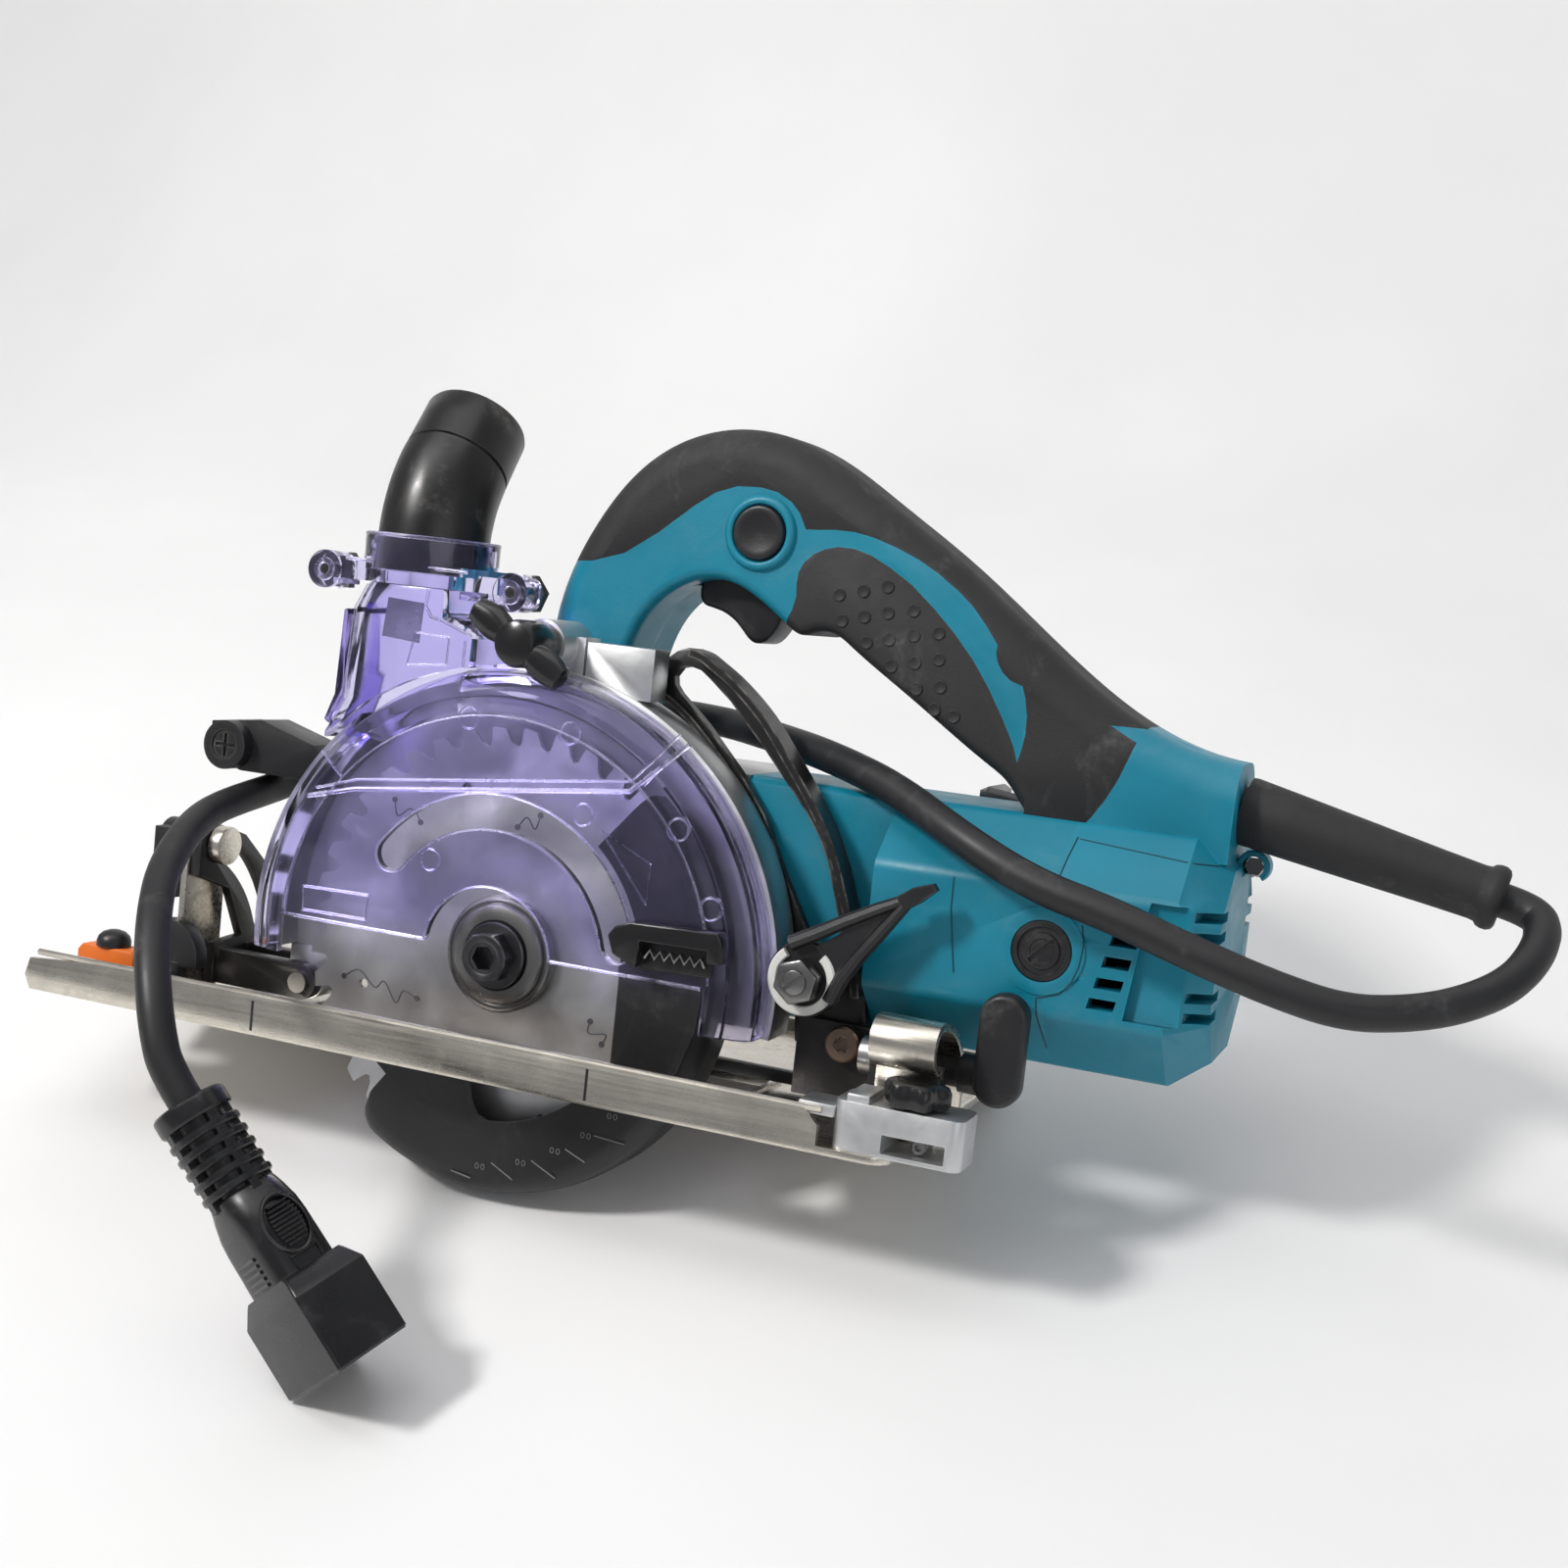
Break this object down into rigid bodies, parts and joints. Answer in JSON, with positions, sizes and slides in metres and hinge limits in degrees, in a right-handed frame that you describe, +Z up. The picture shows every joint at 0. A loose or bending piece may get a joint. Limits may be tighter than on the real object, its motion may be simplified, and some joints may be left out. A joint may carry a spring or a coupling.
{
  "type": "circular saw",
  "caption": "Compact corded circular saw with in-line motor, clear dust cover and outlet, sprung lower guard, tilting base and depth guide, lying on its guard and base edge.",
  "frame": {"origin": "centre of the saw's outline on the bench, cord left out", "axes": "+X to the saw's rear along the motor, +Y to the saw's right, +Z up from the bench; the saw leans to its right as it rests"},
  "size_m": [0.4103, 0.2224, 0.2022],
  "materials": {
    "teal_plastic": "moulded, satin",
    "black_rubber": "soft grip",
    "black_plastic": "moulded",
    "clear_violet": "tinted clear polycarbonate",
    "cast_aluminium": "die cast, satin",
    "nickel_steel": "nickel plated, worn",
    "bright_steel": "machined",
    "black_metal": "black oxide",
    "copper": "copper",
    "carbon": "carbon",
    "white_plastic": "moulded",
    "orange_plastic": "moulded",
    "brass": "plain",
    "blade_steel": "ground",
    "cord_black": "sheathed cord"
  },
  "bodies": {
    "saw_body": {"blade_case": "cast_aluminium", "dust_cover": "clear_violet", "dust_duct": "clear_violet", "duct_collar": "clear_violet", "case_screws": "bright_steel", "gear_housing": "cast_aluminium", "motor_housing": "teal_plastic", "rear_cover": "teal_plastic", "handle_left_shell": "teal_plastic", "handle_right_shell": "teal_plastic", "handle_grip": "black_rubber", "switch_unit": "black_plastic", "brush_holders": "brass", "carbon_brushes": "carbon", "brush_caps": "black_plastic", "stator_core": "bright_steel", "field_coils": "copper", "motor_bearings": "bright_steel", "gear_bearings": "bright_steel", "cord_bracket": "black_plastic", "cord_guard": "black_rubber", "hex_wrench": "black_metal", "guard_spring": "bright_steel", "depth_bolt": "bright_steel", "cord": "cord_black", "plug_body": "cord_black", "plug_pins": "brass"},
    "spindle_line": {"spindle": "bright_steel", "spur_gear": "bright_steel", "outer_flange": "bright_steel", "blade_bolt": "black_metal", "saw_blade": "blade_steel"},
    "intermediate_line": {"intermediate_shaft": "bright_steel", "bevel_gear": "bright_steel"},
    "armature": {"armature_shaft": "bright_steel", "armature_core": "bright_steel", "commutator": "copper", "fan": "white_plastic"},
    "guard": {"lower_guard": "black_metal", "guard_lever": "black_plastic"},
    "trigger_body": {"trigger": "black_plastic"},
    "lock_button_body": {"lock_off_button": "black_plastic"},
    "tilt_frame": {"depth_guide": "black_metal", "rear_bracket": "black_metal", "front_bracket": "black_metal", "frame_pins": "bright_steel"},
    "depth_lever_body": {"depth_lever": "black_plastic", "lever_washer": "white_plastic"},
    "base": {"base_plate": "nickel_steel", "front_quadrant": "nickel_steel", "rear_quadrant": "nickel_steel", "fence_holder": "cast_aluminium", "sight_guide": "orange_plastic", "sight_screw": "black_plastic"},
    "front_lever_body": {"front_bevel_lever": "black_plastic"},
    "rear_knob_body": {"rear_bevel_knob": "black_plastic"},
    "fence_screw_body": {"fence_screw": "black_plastic"},
    "front_screw_body": {"front_fence_screw": "black_plastic"},
    "wing_knob_body": {"cover_wing_knob": "black_plastic"},
    "nozzle_body": {"dust_nozzle": "black_plastic"}
  },
  "joints": [
    {"name": "spindle_spin", "type": "hinge", "parent": "saw_body", "child": "spindle_line", "pos_m": [-0.05484, -0.03401, 0.0634], "axis": [0, 0.9274, -0.3741], "continuous": true},
    {"name": "intermediate_spin", "type": "hinge", "parent": "saw_body", "child": "intermediate_line", "pos_m": [-0.05484, 0.01021, 0.07144], "axis": [0, 0.9274, -0.3741], "continuous": true},
    {"name": "armature_spin", "type": "hinge", "parent": "saw_body", "child": "armature", "pos_m": [0.04516, 0.01021, 0.07144], "axis": [1, 0, 0], "continuous": true},
    {"name": "guard_swing", "type": "hinge", "parent": "saw_body", "child": "guard", "pos_m": [-0.05484, -0.03401, 0.0634], "axis": [0, -0.9274, 0.3741], "range_deg": [0, 120], "stiffness_Nm_per_rad": 0.12, "springref_deg": -51.57},
    {"name": "trigger_pull", "type": "hinge", "parent": "saw_body", "child": "trigger_body", "pos_m": [-0.01834, 0.04406, 0.15537], "axis": [0, -0.9274, 0.3741], "range_deg": [0, 8], "stiffness_Nm_per_rad": 0.6, "springref_deg": -8.59},
    {"name": "lock_button_press", "type": "slide", "parent": "saw_body", "child": "lock_button_body", "axis": [0, 0.9274, -0.3741], "range_m": [0, 0.004], "stiffness_N_per_m": 250, "springref_m": -0.002},
    {"name": "depth_swing", "type": "hinge", "parent": "saw_body", "child": "tilt_frame", "pos_m": [-0.12484, -0.02796, 0.03831], "axis": [0, 0.9274, -0.3741], "range_deg": [0, 10]},
    {"name": "bevel_tilt", "type": "hinge", "parent": "tilt_frame", "child": "base", "pos_m": [-0.05484, -0.05635, 0.04545], "axis": [-1, 0, 0], "range_deg": [0, 45]},
    {"name": "depth_lever_turn", "type": "hinge", "parent": "saw_body", "child": "depth_lever_body", "pos_m": [0.03316, -0.03102, 0.07082], "axis": [0, 0.9274, -0.3741], "range_deg": [0, 25]},
    {"name": "front_bevel_lever_turn", "type": "hinge", "parent": "base", "child": "front_lever_body", "pos_m": [-0.16484, -0.02553, 0.07685], "axis": [1, 0, 0], "range_deg": [0, 80]},
    {"name": "rear_bevel_knob_turn", "type": "hinge", "parent": "tilt_frame", "child": "rear_knob_body", "pos_m": [0.07516, -0.03404, 0.05263], "axis": [1, 0, 0], "range_deg": [0, 55]},
    {"name": "fence_screw_turn", "type": "hinge", "parent": "base", "child": "fence_screw_body", "pos_m": [0.07116, -0.05678, 0.05641], "axis": [0, 0.3741, 0.9274], "continuous": true},
    {"name": "front_fence_screw_turn", "type": "hinge", "parent": "base", "child": "front_screw_body", "pos_m": [-0.15284, -0.05633, 0.05084], "axis": [0, 0.3741, 0.9274], "continuous": true},
    {"name": "wing_knob_turn", "type": "hinge", "parent": "saw_body", "child": "wing_knob_body", "pos_m": [-0.05084, -0.01334, 0.14672], "axis": [0, 0.9274, -0.3741], "continuous": true},
    {"name": "nozzle_swivel", "type": "hinge", "parent": "saw_body", "child": "nozzle_body", "pos_m": [-0.09004, 0.00703, 0.16114], "axis": [0, 0.3741, 0.9274], "continuous": true}
  ],
  "couplings": [
    {"joint": "intermediate_spin", "follows": "spindle_spin", "ratio": -2.2},
    {"joint": "armature_spin", "follows": "spindle_spin", "ratio": -4.4}
  ]
}
